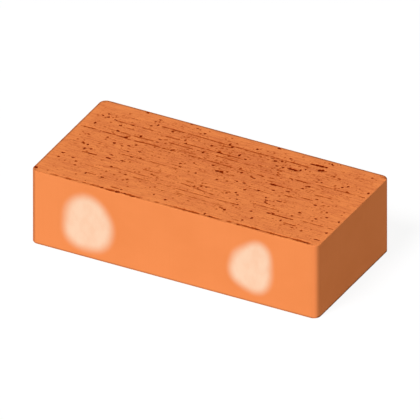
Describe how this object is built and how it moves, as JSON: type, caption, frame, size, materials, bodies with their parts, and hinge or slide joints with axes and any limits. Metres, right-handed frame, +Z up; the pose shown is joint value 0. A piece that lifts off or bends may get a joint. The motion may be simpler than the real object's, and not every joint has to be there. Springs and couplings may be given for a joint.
{
  "type": "clay brick",
  "caption": "Solid wire-cut clay brick with rounded upright edges and crisp bed arrises, for laying in mortar in walls, piers and paths.",
  "frame": {"origin": "centre of the lower bed face, on the surface the brick lies on", "axes": "+X along the length of the brick, +Y from the front stretcher face to the back one, +Z up through the course height"},
  "size_m": [0.25, 0.12, 0.065],
  "materials": {
    "fired_clay": "matte"
  },
  "bodies": {
    "root": {"brick": "fired_clay"}
  },
  "joints": []
}
